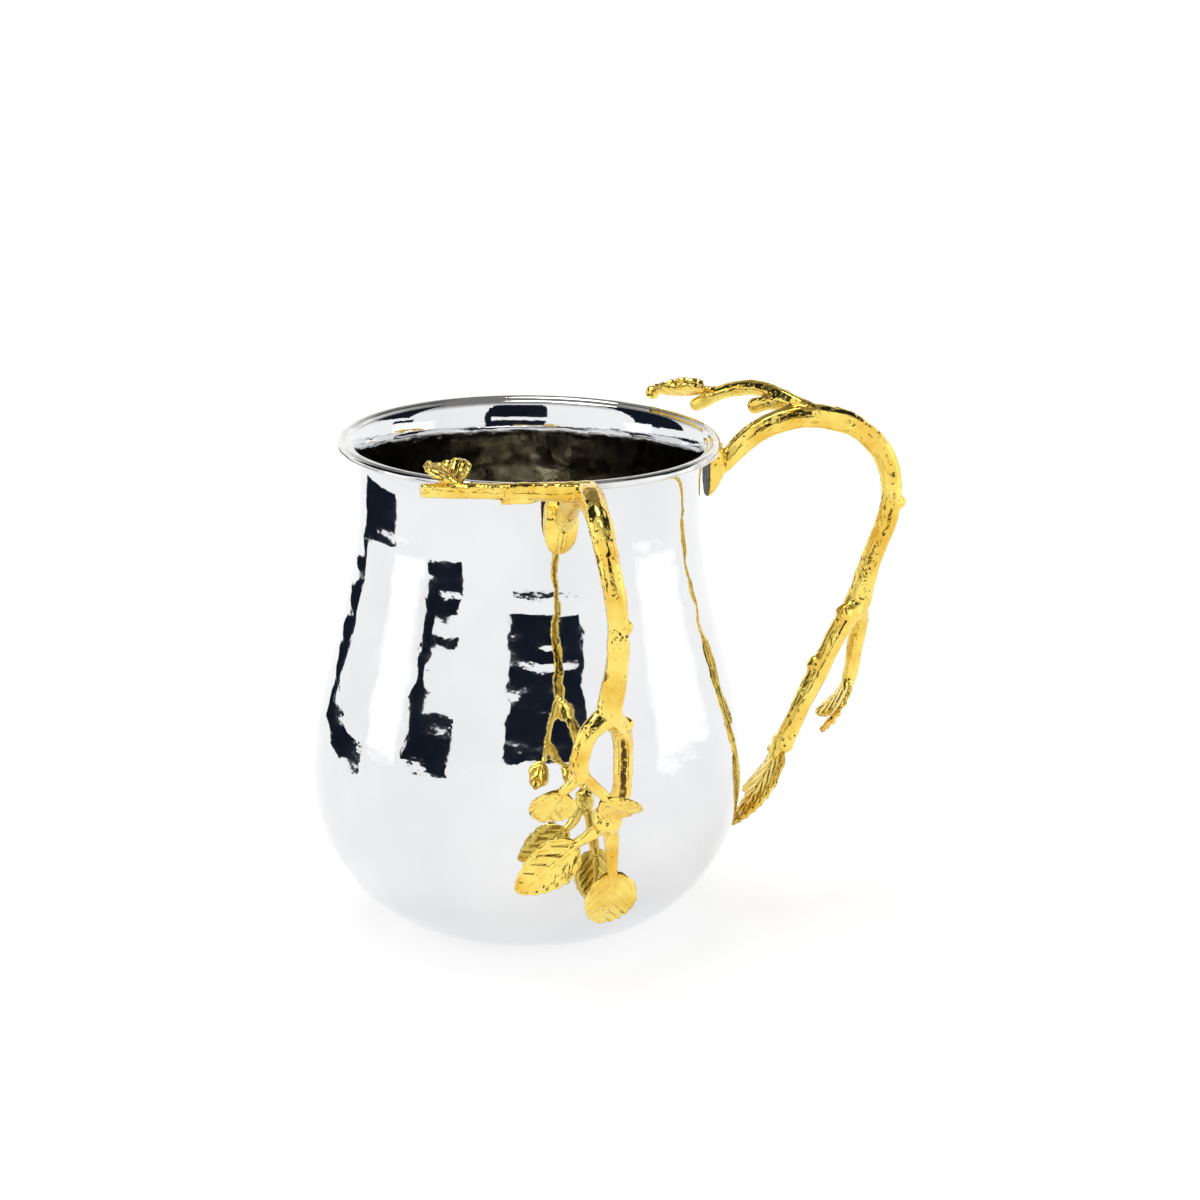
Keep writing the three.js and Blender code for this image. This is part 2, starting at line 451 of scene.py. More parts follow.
@dataclass(frozen=True)
class GoldCasting:
    """Polished gold-coloured casting: bright on the ridges, brown painted shade in the hollows, black painted
    shade where the shade is deepest, black in its pits.
    """

    name: str = "gold_casting"
    bright: Colour = (0.95, 0.73, 0.17)
    warm: Colour = (0.8, 0.48, 0.06)
    hollow_shade: Colour = (0.16, 0.08, 0.012)
    pit: Colour = (0.035, 0.02, 0.008)
    patch_scale: float = 110
    patch_span: Span = (0.42, 0.68)
    sunk_shade_span: Span = (0.45, 0.86)
    deep_shade_span: Span = (0.9, 1.0)
    speck_scale: float = 1300
    cluster_scale: float = 120
    pit_span: Span = (0.38, 0.44)
    pit_height: float = -1.2
    roughness: Span = (0.15, 0.45)
    grain_scale: float = 600
    bump_strength: float = 0.5
    bump_distance: float = 0.00016
    hollow_attribute: str = "hollow_shade"

    def build(self) -> bpy.types.Material:
        """Makes the material.

        Returns:
            The material.
        """
        nodes = Nodes(self.name)
        shade_amount = nodes.attribute(self.hollow_attribute)
        patches = nodes.ramp(nodes.noise(self.patch_scale, detail=5), self.patch_span, self.bright, self.warm)
        # Painted shade: the stored shade amount turns the gold brown in the hollows.
        sunk_shade = nodes.ramp(shade_amount, self.sunk_shade_span, BLACK, WHITE)
        # Painted shade: where the stored shade is deepest, on the pad's inner face and the groove's bottom,
        # the gold turns to the black pit colour.
        deep_shade = nodes.ramp(shade_amount, self.deep_shade_span, BLACK, WHITE)
        shaded_gold = nodes.mix(deep_shade, nodes.mix(sunk_shade, patches, self.hollow_shade), self.pit)
        specks = nodes.noise(self.speck_scale, detail=5)
        meeting = nodes.product(specks, nodes.noise(self.cluster_scale, detail=2))
        pits = nodes.ramp(meeting, self.pit_span, BLACK, WHITE)
        # Painted shade: the deepest painted shade is not metallic.
        nodes.give("Metallic", nodes.ramp(shade_amount, self.deep_shade_span, WHITE, BLACK))
        nodes.give("Base Color", nodes.mix(pits, shaded_gold, self.pit))
        nodes.give("Roughness", nodes.spread(sunk_shade, (0, 1), self.roughness))
        height = nodes.times_plus(pits, self.pit_height, nodes.noise(self.grain_scale, detail=3))
        nodes.bump(height, self.bump_strength, self.bump_distance)
        return nodes.material


@dataclass(frozen=True)
class StudioCloth:
    """A plain matt surface for the floor and the panels. It may glow, all over or most in its middle."""

    name: str
    colour: Colour
    roughness: float = 0.6
    glow: float = 0.0
    glow_attribute: str | None = None

    def build(self) -> bpy.types.Material:
        """Makes the material.

        Returns:
            The material.
        """
        nodes = Nodes(self.name)
        nodes.give("Base Color", (*self.colour, 1))
        nodes.give("Roughness", self.roughness)
        nodes.give("Specular IOR Level", 0.0)
        nodes.give("Emission Color", (*WHITE, 1))
        nodes.give("Emission Strength", self.glow)
        if self.glow_attribute:
            share = nodes.attribute(self.glow_attribute)
            nodes.give("Emission Strength", nodes.spread(share, (0, 1), (0, self.glow)))
        return nodes.material


# The cup


@dataclass
class CupBody:
    """The hollow steel vessel: round belly, drawn-in neck, flared lip and rolled bead, hammered all over.

    Lengths are in millimetres and match the solid that the body replaces.
    """

    height: float = 140.0
    wall: float = 1.2
    base_radius: float = 22.0
    belly_radius: float = 60.4
    belly_height: float = 43.0
    belly_fullness: float = 1.93
    neck_radius: float = 47.6
    neck_height: float = 122.0
    flare_height: float = 10.0
    rim_radius: float = 53.6
    bead_width: float = 3.6
    bead_height: float = 2.6
    curve_steps: int = 200
    flare_steps: int = 60
    flare_turn: float = 0.44 * math.pi
    bead_turns: Span = (-0.36 * math.pi, 1.12 * math.pi)
    bead_steps: int = 17
    sides: int = 300
    row_length: float = 1.15
    mark_spacing: float = 11.0
    mark_row_share: float = 0.86
    mark_stretch: float = 1.5
    mark_hollow: float = 0.0024
    mark_softness: float = 90.0
    mark_level: float = -0.11
    swell_depth: float = 0.12
    swell_size: float = 26.0
    ripple_depth: float = 0.075
    ripple_length: float = 9.4
    ripple_first: float = 83.0
    ripple_last: float = 113.0
    ripple_wander: float = 2.5
    ripple_wander_size: float = 21.0
    lip_blend: float = 8.0
    foot_clear: float = 0.2
    foot_blend: float = 1.0
    inner_share: float = 1.6
    inner_edge: float = 2.0
    inner_blend: float = 6.0
    bead_shade_and_haze: float = 0.25
    bead_reach: float = 0.52
    dimple_turn: float = -70.8
    dimple_height: float = 56.0
    dimple_radius: float = 2.0
    dimple_depth: float = 0.3
    seed: int = 7
    steel: HammeredSteel = field(default_factory=HammeredSteel)

    @property
    def bead_radius(self) -> float:
        """The distance from the axis to the middle of the bead."""
        return self.rim_radius - self.bead_width / 2

    @property
    def bead_middle(self) -> float:
        """The height of the middle of the bead."""
        return self.height - self.bead_height / 2

    def outside(self) -> np.ndarray:
        """The outside of the wall from the edge of the flat base to under the bead.

        Returns:
            Rows of radius and height, close together.
        """
        power = 2 / self.belly_fullness
        angles = np.linspace(0, math.pi / 2, self.curve_steps)
        widen = self.belly_radius - self.base_radius
        belly = np.stack([
            self.base_radius + widen * np.sin(angles) ** power,
            self.belly_height * (1 - np.clip(np.cos(angles), 0, 1) ** power),
        ], axis=1)
        share = np.linspace(0, 1, self.curve_steps)[1:]
        narrow = (self.belly_radius - self.neck_radius) * (1 + np.cos(math.pi * share)) / 2
        rise = self.belly_height + (self.neck_height - self.belly_height) * share
        neck = np.stack([self.neck_radius + narrow, rise], axis=1)
        angles = np.linspace(0, self.flare_turn, self.flare_steps)
        flare = np.stack([
            self.neck_radius + (self.bead_radius - self.neck_radius) * (1 - np.cos(angles)),
            self.bead_middle - self.flare_height + self.flare_height * np.sin(angles),
        ], axis=1)
        return np.concatenate([belly, neck, flare])

    def evenly(self, line: np.ndarray, step: float) -> np.ndarray:
        """Spaces the points of a line evenly.

        Args:
            line: Rows of radius and height.
            step: The distance between two points.

        Returns:
            The new rows, with both ends kept.
        """
        lengths = np.concatenate([[0], np.cumsum(np.linalg.norm(np.diff(line, axis=0), axis=1))])
        places = np.linspace(0, lengths[-1], max(2, round(lengths[-1] / step) + 1))
        return np.stack([np.interp(places, lengths, line[:, i]) for i in (0, 1)], axis=1)

    def inward(self, line: np.ndarray) -> np.ndarray:
        """Offsets the outside line by the wall's thickness towards the inside.

        Args:
            line: Rows of radius and height, from the base upwards.

        Returns:
            The offset rows in the same order.
        """
        along = np.gradient(line, axis=0)
        along[0] = (1, 0)
        along /= np.linalg.norm(along, axis=1, keepdims=True)
        return line + np.stack([-along[:, 1], along[:, 0]], axis=1) * self.wall

    def profile(self) -> np.ndarray:
        """The closed section: from the middle of the underside round the bead to the middle of the floor.

        Returns:
            Rows of radius and height.
        """
        outer = self.evenly(self.outside(), self.row_length)
        inner = self.inward(outer)[::-1]
        angles = np.linspace(*self.bead_turns, self.bead_steps)
        bead = np.stack([
            self.bead_radius + self.bead_width / 2 * np.cos(angles),
            self.bead_middle + self.bead_height / 2 * np.sin(angles),
        ], axis=1)
        under = self.evenly(np.array([[0.0, 0.0], [self.base_radius, 0.0]]), 2 * self.row_length)
        floor = self.evenly(np.array([inner[-1], [0.0, self.wall]]), 2 * self.row_length)
        return np.concatenate([under[:-1], outer, bead, inner, floor[1:]])

    def spin(self) -> bpy.types.Object:
        """Draws the section by extruding a point along it, and spins it round the axis.

        Returns:
            The smooth cup.
        """
        section = self.profile() * MM
        deselect_all()
        bpy.ops.mesh.primitive_plane_add(size=MM, location=(section[0][0], 0, section[0][1]))
        cup = name_piece("cup_hammered")
        bpy.ops.object.transform_apply(location=True)
        with editing(cup):
            bpy.ops.mesh.merge(type="CENTER")
            for before, after in zip(section, section[1:]):
                move = (after[0] - before[0], 0, after[1] - before[1])
                bpy.ops.mesh.extrude_region_move(TRANSFORM_OT_translate={"value": move})
            bpy.ops.mesh.select_all(action="SELECT")
            bpy.ops.mesh.spin(steps=self.sides, angle=math.tau, center=(0, 0, 0), axis=(0, 0, 1))
            bpy.ops.mesh.select_all(action="SELECT")
            bpy.ops.mesh.remove_doubles(threshold=1e-6)
            bpy.ops.mesh.normals_make_consistent(inside=False)
        return cup

    def marks(self) -> kdtree.KDTree:
        """The middles of the hammer marks, in staggered rings over the outside and on the floor.

        Returns:
            A search tree of the marks, in millimetres.
        """
        random = np.random.default_rng(self.seed)
        floor_gap = self.mark_spacing * self.mark_row_share
        row_gap = floor_gap / self.mark_stretch
        rows = self.evenly(self.outside(), row_gap)
        floor = self.evenly(np.array([[0.0, 0.0], [self.base_radius, 0.0]]), floor_gap)[:-1]
        centres = []
        for radius, height in np.concatenate([floor, rows]):
            count = max(1, round(math.tau * radius / self.mark_spacing))
            start = random.uniform(0, math.tau)
            for i in range(count):
                angle = start + math.tau * (i + random.uniform(-0.24, 0.24)) / count
                level = height + random.uniform(-0.2, 0.2) * row_gap
                wide = radius + random.uniform(-0.1, 0.1)
                centres.append((wide * math.cos(angle), wide * math.sin(angle), level * self.mark_stretch))
        tree = kdtree.KDTree(len(centres))
        for i, centre in enumerate(centres):
            tree.insert(centre, i)
        tree.balance()
        return tree

    def hammered(self, outer: np.ndarray, tree: kdtree.KDTree) -> float:
        """How far the hammered surface stands from the smooth one at a place.

        Args:
            outer: A place on the smooth outside, in millimetres.
            tree: The middles of the hammer marks, stretched along the axis.

        Returns:
            The height in millimetres.
        """
        near = tree.find_n(Vector((outer[0], outer[1], outer[2] * self.mark_stretch)), 4)
        heights = [self.mark_hollow * distance * distance for _, _, distance in near]
        lowest = min(heights)
        blend = sum(math.exp(-(height - lowest) * self.mark_softness) for height in heights)
        marks = lowest - math.log(blend) / self.mark_softness
        swell = noise.noise(Vector(outer) / self.swell_size) * self.swell_depth
        return marks + self.mark_level + swell - self.ripple(outer) - self.dimple(outer)

    def ripple(self, outer: np.ndarray) -> float:
        """How deep the uneven rings left by turning the neck are at a place, in millimetres."""
        share = (outer[2] - self.ripple_first) / (self.ripple_last - self.ripple_first)
        if not 0 < share < 1:
            return 0.0
        wander = self.ripple_wander * noise.noise(Vector(outer) / self.ripple_wander_size)
        waves = (outer[2] - self.ripple_first + wander) / self.ripple_length
        return self.ripple_depth * math.sin(math.pi * share) ** 0.5 * math.cos(math.tau * waves)

    def dimple(self, outer: np.ndarray) -> float:
        """How deep the one small round dimple on the belly is at a place, in millimetres."""
        turn = math.atan2(outer[1], outer[0]) - math.radians(self.dimple_turn)
        aside = math.hypot(outer[0], outer[1]) * math.remainder(turn, math.tau)
        distance = math.hypot(aside, outer[2] - self.dimple_height)
        return self.dimple_depth * math.exp(-((distance / self.dimple_radius) ** 2))

    def hammer(self, cup: bpy.types.Object) -> None:
        """Beats the marks into the wall, fainter inside, and stores what is inside; the bead stays round.

        Args:
            cup: The smooth cup.
        """
        tree = self.marks()
        coords = vertices_of(cup) / MM
        normals = normals_of(cup)
        radius = np.hypot(coords[:, 0], coords[:, 1])
        flare = self.bead_middle - self.flare_height
        fade = np.clip((flare + self.lip_blend / 2 - coords[:, 2]) / self.lip_blend, 0, 1)
        fade *= np.clip((coords[:, 2] - self.foot_clear) / self.foot_blend, 0, 1)
        toward_axis = (normals[:, 0] * coords[:, 0] + normals[:, 1] * coords[:, 1]) < 0
        inside = toward_axis | ((coords[:, 2] > 0.5 * self.wall) & (radius < self.base_radius))
        share = np.where(inside, -self.inner_share, 1.0) * fade
        outer = coords - np.where(inside, self.wall, 0.0)[:, None] * normals
        for i in np.nonzero(fade > 0)[0]:
            coords[i] += normals[i] * self.hammered(outer[i], tree) * share[i]
        set_vertices(cup, coords * MM)
        # Painted shade: the inner share darkens the inside of the cup in the finish.
        inner = inside * np.clip((flare + self.inner_edge - coords[:, 2]) / self.inner_blend, 0, 1)
        out_from_bead = (radius - self.bead_radius) / self.bead_width
        up_from_bead = (coords[:, 2] - self.bead_middle) / self.bead_height
        on_bead = np.hypot(out_from_bead, up_from_bead) < self.bead_reach
        # Painted shade on the bead: a quarter of the inside's painted shade and haze.
        store(cup, self.steel.inner_attribute, np.where(on_bead, self.bead_shade_and_haze, inner))

    def build(self) -> bpy.types.Object:
        """Makes the cup.

        Returns:
            The hammered cup.
        """
        cup = self.spin()
        self.hammer(cup)
        shade_smooth(cup)
        return cup

    def dress(self, cup: bpy.types.Object) -> None:
        """Gives the cup its finish and its place in the frame.

        Args:
            cup: The hammered cup.
        """
        cup.data.materials.append(self.steel.build())
        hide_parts("cup_body")
        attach(cup, BODY)


# The handles


@dataclass(frozen=True)
class Leaf:
    """One leaf: where it starts and ends, which way it faces, and its form in thousandths of the handle."""

    base: Place
    tip: Place
    face: Place
    width: float
    fold: float
    curl: float
    broad_end: float = 0.72
    crumple: float = 0.0


@dataclass
class BranchHandle:
    """One casting: trunk, twigs and struts grown together, with buds, leaves and the pad on the neck.

    Places are in thousandths of the handle's height: out from the rim's edge, sideways, and up from the
    rim's top, with a thickness as the fourth number. Other lengths are in millimetres.
    """

    name: str
    node: str
    side: Side
    branches: dict[str, list[Place]]
    buds: list[Place]
    leaves: list[Leaf]
    pad_aside: float
    pad_drop: float
    groove: tuple[str, float, float] | None
    cup: CupBody
    height: float = 131.0
    gap: float = 0.06
    ring_sides: int = 28
    ring_step: float = 0.8
    voxel: float = 0.36
    lump_length: float = 6.5
    lump_height: float = 0.09
    ridge_length: float = 13.0
    ridge_height: float = 0.1
    furrow_length: float = 9.0
    furrow_width: float = 0.07
    furrow_depth: float = 0.085
    skin_lump_size: float = 2.4
    skin_lump_height: float = 0.13
    pore_size: float = 0.9
    pore_level: float = 0.4
    pore_depth: float = 0.9
    hollow_start: float = 0.35
    hollow_gain: float = 5.0
    hollow_most: float = 0.88
    pad_cuts: int = 23
    pad_reach: float = 16.0
    pad_width: float = 9.2
    pad_depth_under_rim: float = 3.7
    pad_overlap: float = 2.4
    pad_root_thickness: float = 4.2
    pad_foot_thickness: float = 2.0
    pad_swell: float = 2.6
    leaf_columns: int = 45
    leaf_rows: int = 57
    leaf_thickness: float = 1.15
    teeth: int = 7
    tooth_depth: float = 0.05
    rib_height: float = 0.75
    rib_width: float = 0.5
    vein_spacing: float = 4.0
    vein_height: float = 0.42
    vein_width: float = 0.6
    wrinkle_height: float = 0.14
    wrinkle_size: float = 2.2
    crumple_size: float = 5.0
    edge_height: float = 0.3
    leaf_hollow_share: float = 0.55
    groove_facing: Place = (0.81, -0.1, -0.57)
    groove_depth: float = 0.55
    groove_reach: float = 1.3
    groove_darkening: float = 4.0
    groove_darkest: float = 0.95
    gold: GoldCasting = field(default_factory=GoldCasting)

    def length(self, thousandths: float) -> float:
        """A length in millimetres from thousandths of the handle's height."""
        return thousandths * self.height / 1000

    def place(self, form: Place) -> np.ndarray:
        """A place in millimetres, with the handle pointing along +X."""
        return np.array([
            self.cup.rim_radius + self.length(form[0]),
            self.length(form[1]),
            self.cup.height + self.length(form[2]),
        ])

    def bent_path(self, forms: list[Place]) -> tuple[np.ndarray, np.ndarray]:
        """A smooth path through places, as evenly spaced points.

        Args:
            forms: The places with their thicknesses.

        Returns:
            The points in millimetres, and the radius at each.
        """
        knots = [self.place(form) for form in forms]
        knots = [2 * knots[0] - knots[1], *knots, 2 * knots[-1] - knots[-2]]
        radii = [self.length(form[3]) / 2 for form in forms]
        points, sizes = [], []
        for i in range(len(forms) - 1):
            quad = knots[i:i + 4]
            times = [0.0]
            for a, b in zip(quad, quad[1:]):
                times.append(times[-1] + max(np.linalg.norm(b - a), 1e-6) ** 0.5)
            for share in np.linspace(0, 1, 40, endpoint=i == len(forms) - 2):
                t = times[1] + (times[2] - times[1]) * share
                level = quad
                for order in (1, 2, 3):
                    level = [
                        self.blend(level[j], level[j + 1], t, *self.span(times, j, order))
                        for j in range(len(level) - 1)
                    ]
                points.append(level[0])
                sizes.append(radii[i] + (radii[i + 1] - radii[i]) * share)
        points, sizes = np.array(points), np.array(sizes)
        lengths = np.concatenate([[0], np.cumsum(np.linalg.norm(np.diff(points, axis=0), axis=1))])
        even = np.linspace(0, lengths[-1], max(4, round(lengths[-1] / self.ring_step)) + 1)
        path = np.stack([np.interp(even, lengths, points[:, k]) for k in range(3)], axis=1)
        return path, np.interp(even, lengths, sizes)

    @staticmethod
    def span(times: list[float], start: int, order: int) -> tuple[float, float]:
        """The two times between which one step of the path's pyramid blends."""
        if order == 1:
            return times[start], times[start + 1]
        if order == 2:
            return times[start], times[start + 2]
        return times[1], times[2]

    @staticmethod
    def blend(a: np.ndarray, b: np.ndarray, t: float, low: float, high: float) -> np.ndarray:
        """A straight blend of two points by a time between two times."""
        return ((high - t) * a + (t - low) * b) / (high - low)

    def bark(self, turn: float, along: float, seed: float) -> float:
        """How much thicker the bark makes a branch at a place on it, as a share of its radius.

        Args:
            turn: The angle round the branch.
            along: The distance along it in millimetres.
            seed: A number of its own for each branch.

        Returns:
            The share, positive on ridges and negative in furrows.
        """
        across = Vector((math.cos(turn), math.sin(turn), 0))
        lumps = noise.noise(across * 0.8 + Vector((seed, 0, along / self.lump_length)))
        ridges = noise.noise(across * 1.9 + Vector((0, seed, along / self.ridge_length)))
        furrow = noise.noise(across * 1.5 + Vector((seed, seed, along / self.furrow_length)))
        cut = math.exp(-((furrow / self.furrow_width) ** 2))
        return self.lump_height * lumps + self.ridge_height * ridges - self.furrow_depth * cut

    def branch(self, key: str, forms: list[Place], seed: float) -> bpy.types.Object:
        """A branch: a cylinder cut into rings, bent along its path and barked.

        Args:
            key: The branch's name.
            forms: Its places with their thicknesses.
            seed: A number of its own for the bark.

        Returns:
            The branch as a closed mesh in metres, pointing along +X.
        """
        path, radii = self.round_ends(*self.bent_path(forms))
        rows = len(path) - 1
        deselect_all()
        bpy.ops.mesh.primitive_cylinder_add(vertices=self.ring_sides, radius=1, depth=1, end_fill_type="NGON")
        piece = name_piece(key)
        self.cut_rings(piece, rows)
        tangents = np.gradient(path, axis=0)
        tangents /= np.linalg.norm(tangents, axis=1, keepdims=True)
        upright = np.array([0.0, 1.0, 0.0])
        frames = []
        for tangent in tangents:
            upright = upright - tangent * np.dot(upright, tangent)
            upright /= np.linalg.norm(upright)
            frames.append((upright, np.cross(tangent, upright)))
        coords = vertices_of(piece)
        for i, (x, y, z) in enumerate(coords):
            row = round((z + 0.5) * rows)
            turn = math.atan2(y, x)
            direction = frames[row][0] * math.cos(turn) + frames[row][1] * math.sin(turn)
            radius = radii[row] * (1 + self.bark(turn, row * self.ring_step, seed))
            radius *= 1 - self.furrow(key, row / rows, direction)
            coords[i] = path[row] + direction * radius
        set_vertices(piece, coords * MM)
        return piece

    def round_ends(self, path: np.ndarray, radii: np.ndarray) -> tuple[np.ndarray, np.ndarray]:
        """Lengthens a path at both ends by a dome, so that branches meet in full round joints.

        Args:
            path: The points of the path.
            radii: The radius at each point.

        Returns:
            The longer path and its radii.
        """
        rises = np.radians([25.0, 50.0, 72.0])
        first = (path[0] - path[1]) / np.linalg.norm(path[0] - path[1])
        last = (path[-1] - path[-2]) / np.linalg.norm(path[-1] - path[-2])
        before = path[0] + np.outer(np.sin(rises) * radii[0], first)
        after = path[-1] + np.outer(np.sin(rises) * radii[-1], last)
        sizes = [np.cos(rises)[::-1] * radii[0], radii, np.cos(rises) * radii[-1]]
        return np.concatenate([before[::-1], path, after]), np.concatenate(sizes)

    def furrow(self, key: str, share: float, direction: np.ndarray) -> float:
        """How deep the strut's open groove is at a place, as a share of its radius.

        Args:
            key: The branch's name.
            share: The place along the branch.
            direction: The way from the branch's middle to the place.

        Returns:
            The share, none outside the groove.
        """
        if self.groove is None or key != self.groove[0]:
            return 0.0
        start, end = self.groove[1:]
        open_share = math.sin(math.pi * min(max((share - start) / (end - start), 0), 1)) ** 0.5
        facing = max(0.0, float(np.dot(direction, self.groove_facing)))
        width = 0.05 + 0.08 * share
        return self.groove_depth * open_share * math.exp(-(((1 - facing) / width) ** 2))

    def cut_rings(self, piece: bpy.types.Object, rows: int) -> None:
        """Cuts a cylinder into rings by subdividing its long edges.

        Args:
            piece: The cylinder, with its length along Z.
            rows: How many rings it gets.
        """
        bpy.ops.object.mode_set(mode="EDIT")
        bpy.ops.mesh.select_all(action="DESELECT")
        bpy.ops.object.mode_set(mode="OBJECT")
        points = piece.data.vertices
        for edge in piece.data.edges:
            low, high = (points[i].co.z for i in edge.vertices)
            edge.select = abs(high - low) > 0.5
        bpy.ops.object.mode_set(mode="EDIT")
        bpy.ops.mesh.select_mode(type="EDGE")
        bpy.ops.mesh.subdivide(number_cuts=rows - 1)
        bpy.ops.mesh.select_mode(type="VERT")
        bpy.ops.object.mode_set(mode="OBJECT")

    def bud(self, index: int, form: Place) -> bpy.types.Object:
        """A knotty bud.

        Args:
            index: The bud's number.
            form: Its place and size.

        Returns:
            The bud in metres, pointing along +X.
        """
        deselect_all()
        bpy.ops.mesh.primitive_ico_sphere_add(subdivisions=4, radius=self.length(form[3]) / 2)
        piece = name_piece(f"bud_{index}")
        coords = vertices_of(piece)
        for i, point in enumerate(coords):
            knot = noise.noise(Vector(point) * 0.55 + Vector((index, 0, 0)))
            coords[i] = self.place(form) + point * (1 + 0.16 * knot)
        set_vertices(piece, coords * MM)
        return piece

    def blade_axes(self, start: np.ndarray, end: np.ndarray, face: Place) -> tuple[np.ndarray, ...]:
        """The directions of a blade: along it, across it, and out of its face."""
        along = end - start
        across = np.cross(along, face)
        across /= np.linalg.norm(across)
        normal = np.cross(across, along)
        return along, across, normal / np.linalg.norm(normal)

    def leaf(self, index: int, form: Leaf) -> bpy.types.Object:
        """A veined leaf with a toothed edge, given its thickness by a Solidify modifier.

        Args:
            index: The leaf's number.
            form: The leaf's place and form.

        Returns:
            The leaf as a closed mesh in metres, pointing along +X.
        """
        start, end = self.place(form.base), self.place(form.tip)
        along, across, normal = self.blade_axes(start, end, form.face)
        long = float(np.linalg.norm(along))
        deselect_all()
        bpy.ops.mesh.primitive_grid_add(
            x_subdivisions=self.leaf_columns - 1, y_subdivisions=self.leaf_rows - 1, size=2
        )
        piece = name_piece(f"leaf_{index}")
        coords = vertices_of(piece)
        x, share = coords[:, 0], (coords[:, 1] + 1) / 2
        oval = np.sin(math.pi * np.clip(share, 0, 1) ** form.broad_end) ** 0.62
        oval = np.nan_to_num(oval)
        teeth = 1 + self.tooth_depth * (((share * self.teeth) % 1) - 0.5) * np.clip(oval * 2, 0, 1)
        half = np.maximum(self.length(form.width) / 2 * oval * teeth, 0.5)
        u = x * half
        v = share * long
        rib = self.rib_height * fall(u, self.rib_width) * (1 - 0.5 * share)
        sweep = v - 0.9 * np.abs(u) - 0.04 * u**2
        phase = (sweep / self.vein_spacing + 0.15) % 1 - 0.5
        reach = np.clip(np.abs(u) / self.rib_width, 0, 1)
        veins = self.vein_height * fall(phase * self.vein_spacing, self.vein_width) * reach
        sheet = np.stack([u, v], axis=1)
        wrinkle = self.wrinkle_height * noise_along(sheet, size=self.wrinkle_size, seed=index)
        crumple = self.length(form.crumple) * noise_along(sheet, size=self.crumple_size, seed=index)
        edge = self.edge_height * fall(np.abs(x) - 0.93, 0.07) * oval
        lift = self.length(form.fold) * x**2 * oval + self.length(form.curl) * np.sin(math.pi * share)
        lift = lift + rib + veins + wrinkle + crumple + edge + 0.1
        places = start + share[:, None] * along + u[:, None] * across + lift[:, None] * normal
        set_vertices(piece, places * MM)
        apply_modifier(piece, "SOLIDIFY", thickness=self.leaf_thickness * MM, offset=0.0)
        return self.face_out(piece)

    def face_out(self, piece: bpy.types.Object) -> bpy.types.Object:
        """Turns all faces of a closed piece outwards.

        Args:
            piece: The piece.

        Returns:
            The same piece.
        """
        with editing(piece):
            bpy.ops.mesh.remove_doubles(threshold=1e-7)
            bpy.ops.mesh.normals_make_consistent(inside=False)
        return piece

    def pad(self) -> bpy.types.Object:
        """The creased teardrop pad that the trunk sits on under the rim.

        Returns:
            The pad in metres, pointing along +X.
        """
        foot = self.place(self.branches["trunk"][0])
        foot += (0, self.length(self.pad_aside), -self.length(self.pad_drop))
        foot[0] = self.cup.rim_radius - self.pad_overlap
        root = np.array([foot[0], foot[1], self.cup.height - self.pad_depth_under_rim])
        deselect_all()
        bpy.ops.mesh.primitive_cube_add(size=2)
        piece = name_piece("pad")
        with editing(piece):
            bpy.ops.mesh.subdivide(number_cuts=self.pad_cuts)
        coords = vertices_of(piece)
        x, depth, share = coords[:, 0], (coords[:, 2] + 1) / 2, (1 - coords[:, 1]) / 2
        taper = self.pad_root_thickness + (self.pad_foot_thickness - self.pad_root_thickness) * share
        thick = taper + self.pad_swell * np.sin(math.pi * share)
        round_end = np.sqrt(np.clip(1 - np.abs(1.7 * share - 0.74) ** 2.8, 0.03, 1))
        crease = 0.7 * fall(x * self.pad_width / 2, 0.7) * np.clip(share * 2, 0, 1)
        crown = (1 - 0.45 * x**2) * thick - crease
        out = foot[0] + depth * crown * np.clip(0.35 + 0.65 * round_end, 0, 1)
        sideways = foot[1] + x * self.pad_width / 2 * round_end
        up = root[2] + (foot[2] - root[2]) * share
        set_vertices(piece, np.stack([out, sideways, up], axis=1) * MM)
        return self.face_out(piece)

    def grow_together(self, parts: list[bpy.types.Object]) -> bpy.types.Object:
        """Fuses branches, buds and pad into one skin, as in a casting, and softens it.

        Args:
            parts: The closed meshes.

        Returns:
            The fused piece.
        """
        piece = join(parts)
        apply_modifier(piece, "REMESH", mode="VOXEL", voxel_size=self.voxel * MM)
        apply_modifier(piece, "SMOOTH", factor=0.5, iterations=3)
        return piece

    def pit(self, piece: bpy.types.Object) -> None:
        """Roughens the fused skin with the shallow pits of the casting.

        Args:
            piece: The fused piece.
        """
        coords = vertices_of(piece)
        normals = normals_of(piece)
        for i, point in enumerate(coords / MM):
            place = Vector(point)
            lumps = noise.noise(place / self.skin_lump_size) * self.skin_lump_height
            pore = noise.noise(place / self.pore_size + Vector((9, 3, 1)))
            pores = max(0.0, pore - self.pore_level) * self.pore_depth
            coords[i] += normals[i] * (lumps - pores) * MM
        set_vertices(piece, coords)

    def keep_off_cup(self, piece: bpy.types.Object) -> None:
        """Moves what would cut into the cup out to its wall.

        Args:
            piece: The handle, pointing along +X.
        """
        line = self.cup.evenly(self.cup.outside(), 0.5)
        coords = vertices_of(piece) / MM
        radius = np.hypot(coords[:, 0], coords[:, 1])
        wall = np.interp(coords[:, 2], line[:, 1], line[:, 0]) + self.gap
        low = self.cup.bead_middle - self.cup.bead_height / 2
        up_from_bead = (coords[:, 2] - self.cup.bead_middle) / (self.cup.bead_height / 2)
        beside_bead = np.clip(1 - up_from_bead**2, 0, 1)
        bead = self.cup.bead_radius + self.cup.bead_width / 2 * np.sqrt(beside_bead) + self.gap
        wall = np.where(coords[:, 2] > low, np.maximum(wall, bead), wall)
        inside = (radius < wall) & (coords[:, 2] < self.cup.height) & (radius > self.cup.neck_radius - 6)
        scale = np.where(inside, wall / np.maximum(radius, 1e-6), 1.0)
        coords[:, 0] *= scale
        coords[:, 1] *= scale
        set_vertices(piece, coords * MM)

